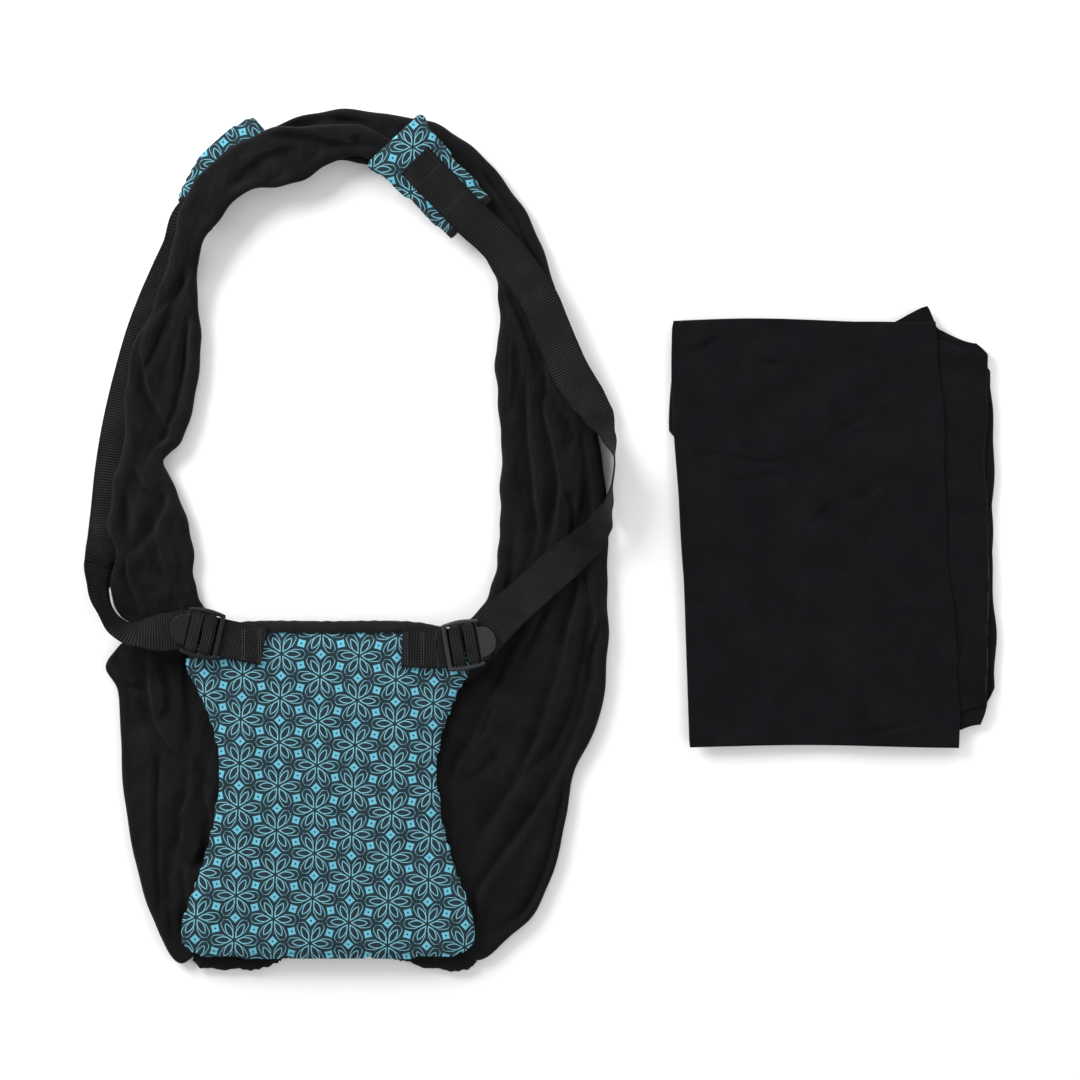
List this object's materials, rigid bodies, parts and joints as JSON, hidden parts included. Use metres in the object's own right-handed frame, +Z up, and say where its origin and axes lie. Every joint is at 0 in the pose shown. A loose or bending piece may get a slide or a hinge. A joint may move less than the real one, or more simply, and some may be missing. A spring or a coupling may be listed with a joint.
{
  "type": "soft baby carrier",
  "caption": "Pull-on knit baby carrier laid flat: padded front panel, crossing knit wings with shoulder pads, webbing straps in ladder-lock buckles, and a folded support sash.",
  "frame": {"origin": "on the table the kit lies on, under the centre of its bounding box", "axes": "+X to the right of the laid-out kit, towards the sash; +Y from the seat to the shoulders; +Z up from the table"},
  "size_m": [0.9017, 0.8589, 0.0429],
  "materials": {
    "printed_cloth": "twill printed with a teal petal lattice on charcoal",
    "foam": "soft open-cell foam, hidden",
    "black_cloth": "matt woven binding and lining",
    "black_knit": "matt cotton jersey knit",
    "elastic": "woven elastic",
    "webbing": "ribbed polyester webbing, slight sheen",
    "black_plastic": "satin moulded acetal",
    "sash_knit": "matt cotton jersey knit, folded"
  },
  "bodies": {
    "carrier": {"front_panel_face": "printed_cloth", "front_panel_padding": "foam", "front_panel_lining": "black_cloth", "top_band": "black_cloth", "left_wing": "black_knit", "right_wing": "black_knit", "seat_casing": "black_knit", "seat_elastic": "elastic", "left_anchor_strap": "webbing", "right_anchor_strap": "webbing", "left_shoulder_strap": "webbing", "right_shoulder_strap": "webbing", "left_strap_tail": "webbing", "right_strap_tail": "webbing", "left_pad_face": "printed_cloth", "left_pad_foam": "foam", "left_pad_backing": "black_cloth", "right_pad_face": "printed_cloth", "right_pad_foam": "foam", "right_pad_backing": "black_cloth"},
    "left_buckle": {"left_buckle": "black_plastic", "left_anchor_wrap": "webbing", "left_strap_wrap": "webbing"},
    "right_buckle": {"right_buckle": "black_plastic", "right_anchor_wrap": "webbing", "right_strap_wrap": "webbing"},
    "sash": {"support_sash": "sash_knit"}
  },
  "joints": [
    {"name": "left_buckle_tilt", "type": "hinge", "parent": "carrier", "child": "left_buckle", "pos_m": [-0.31391, -0.09748, 0.026], "axis": [0.225, 0.9744, 0], "range_deg": [0, 35]},
    {"name": "right_buckle_tilt", "type": "hinge", "parent": "carrier", "child": "right_buckle", "pos_m": [-0.09712, -0.10787, 0.026], "axis": [0.1736, -0.9848, 0], "range_deg": [0, 35]},
    {"name": "sash_lift", "type": "slide", "parent": "carrier", "child": "sash", "axis": [0, 0, 1], "range_m": [0, 0.3]}
  ]
}
